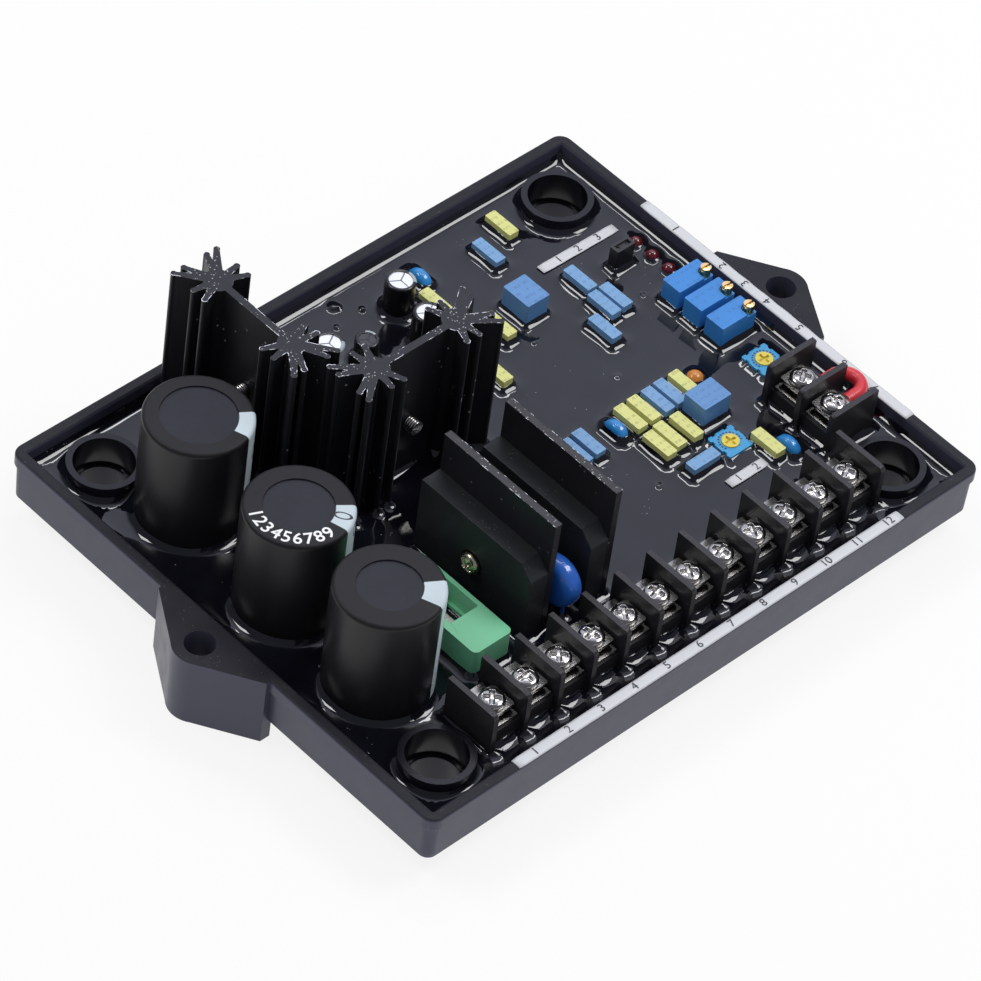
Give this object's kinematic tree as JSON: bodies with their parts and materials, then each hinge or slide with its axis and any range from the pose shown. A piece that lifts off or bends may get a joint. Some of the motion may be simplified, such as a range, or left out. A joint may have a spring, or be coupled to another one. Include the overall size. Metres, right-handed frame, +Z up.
{
  "type": "automatic voltage regulator",
  "caption": "Potted automatic voltage regulator for a generator: black resin-filled tray with terminal strip, capacitors, heat sinks and trimmers",
  "frame": {"origin": "centre of the mounting plane, under the middle of the tray", "axes": "X along the long terminal strip, Y from that strip to the back, Z up from the mounting plane"},
  "size_m": [0.1634, 0.1174, 0.0457],
  "materials": {
    "tray_plastic": "black moulded tray with a fine satin grain",
    "resin_black": "black potting resin, poured, glossy",
    "board_laminate": "green circuit board",
    "sleeve_black": "black shrink sleeve with a pale stripe",
    "sleeve_dark": "dark shrink sleeve with a pale stripe",
    "aluminium_black": "black anodised extrusion",
    "epoxy_black": "black moulding compound",
    "steel_plated": "plated steel screw",
    "zinc_yellow": "yellow-passivated zinc screw",
    "coating_blue": "dark blue dipped coating",
    "plastic_green": "green moulded fuse holder",
    "tin_plated": "tin-plated contact metal",
    "fuse_glass": "pale fuse tube with metal caps",
    "terminal_plastic": "black terminal block",
    "nickel_bright": "bright nickel screws",
    "insulation_red": "red wire insulation",
    "trimmer_blue": "blue moulded trimmer body",
    "screw_brass": "brass adjusting screw",
    "rotary_blue": "light blue rotary trimmer body",
    "rotor_yellow": "yellow rotor with a cross recess",
    "lamp_red": "dark red lamp domes",
    "jumper_plastic": "black jumper",
    "film_yellow": "pale yellow box capacitor",
    "film_blue": "blue box capacitor",
    "film_deep_blue": "blue box capacitor",
    "disc_blue": "blue dipped disc",
    "bead_orange": "orange dipped bead"
  },
  "bodies": {
    "regulator": {"tray": "tray_plastic", "potting_resin": "resin_black", "circuit_board": "board_laminate", "main_capacitor_1": "sleeve_black", "main_capacitor_2": "sleeve_black", "main_capacitor_3": "sleeve_black", "star_heat_sink_1": "aluminium_black", "star_heat_sink_2": "aluminium_black", "power_transistor_1": "epoxy_black", "power_transistor_2": "epoxy_black", "transistor_screws": "steel_plated", "cooling_plate_1": "aluminium_black", "cooling_plate_2": "aluminium_black", "bridge_rectifier_1": "epoxy_black", "bridge_rectifier_2": "epoxy_black", "rectifier_screws": "zinc_yellow", "varistor": "coating_blue", "fuse_base": "plastic_green", "fuse_cover": "plastic_green", "fuse_clips": "tin_plated", "fuse": "fuse_glass", "terminal_block_main": "terminal_plastic", "terminal_block_side": "terminal_plastic", "contact_plates": "tin_plated", "clamp_washers": "tin_plated", "terminal_screws": "nickel_bright", "link_wire": "insulation_red", "trimmer_body_1": "trimmer_blue", "trimmer_body_2": "trimmer_blue", "trimmer_body_3": "trimmer_blue", "rotary_body_1": "rotary_blue", "rotary_body_2": "rotary_blue", "indicator_lamps": "lamp_red", "jumper_header": "jumper_plastic", "jumper_cap": "jumper_plastic", "yellow_film_capacitors": "film_yellow", "blue_film_capacitors": "film_blue", "large_film_capacitor_1": "film_deep_blue", "large_film_capacitor_2": "film_deep_blue", "disc_capacitors": "disc_blue", "bead_capacitor": "bead_orange", "small_electrolytic_1": "sleeve_dark", "small_electrolytic_2": "sleeve_dark", "small_electrolytic_3": "sleeve_dark", "small_electrolytic_4": "sleeve_dark"},
    "trimmer_1_body": {"trimmer_screw_1": "screw_brass"},
    "trimmer_2_body": {"trimmer_screw_2": "screw_brass"},
    "trimmer_3_body": {"trimmer_screw_3": "screw_brass"},
    "rotor_1_body": {"rotor_1": "rotor_yellow"},
    "rotor_2_body": {"rotor_2": "rotor_yellow"}
  },
  "joints": [
    {"name": "trimmer_1_turn", "type": "hinge", "parent": "regulator", "child": "trimmer_1_body", "pos_m": [0.0661, 0.01135, 0.0176], "axis": [0, 0, 1], "continuous": true},
    {"name": "trimmer_2_turn", "type": "hinge", "parent": "regulator", "child": "trimmer_2_body", "pos_m": [0.0659, 0.0051, 0.0176], "axis": [0, 0, 1], "continuous": true},
    {"name": "trimmer_3_turn", "type": "hinge", "parent": "regulator", "child": "trimmer_3_body", "pos_m": [0.0657, -0.00115, 0.0176], "axis": [0, 0, 1], "continuous": true},
    {"name": "rotor_1_turn", "type": "hinge", "parent": "regulator", "child": "rotor_1_body", "pos_m": [0.0409, -0.0219, 0.013], "axis": [0, 0, 1], "range_deg": [-120, 120]},
    {"name": "rotor_2_turn", "type": "hinge", "parent": "regulator", "child": "rotor_2_body", "pos_m": [0.0619, -0.01019, 0.013], "axis": [0, 0, 1], "range_deg": [-120, 120]}
  ]
}
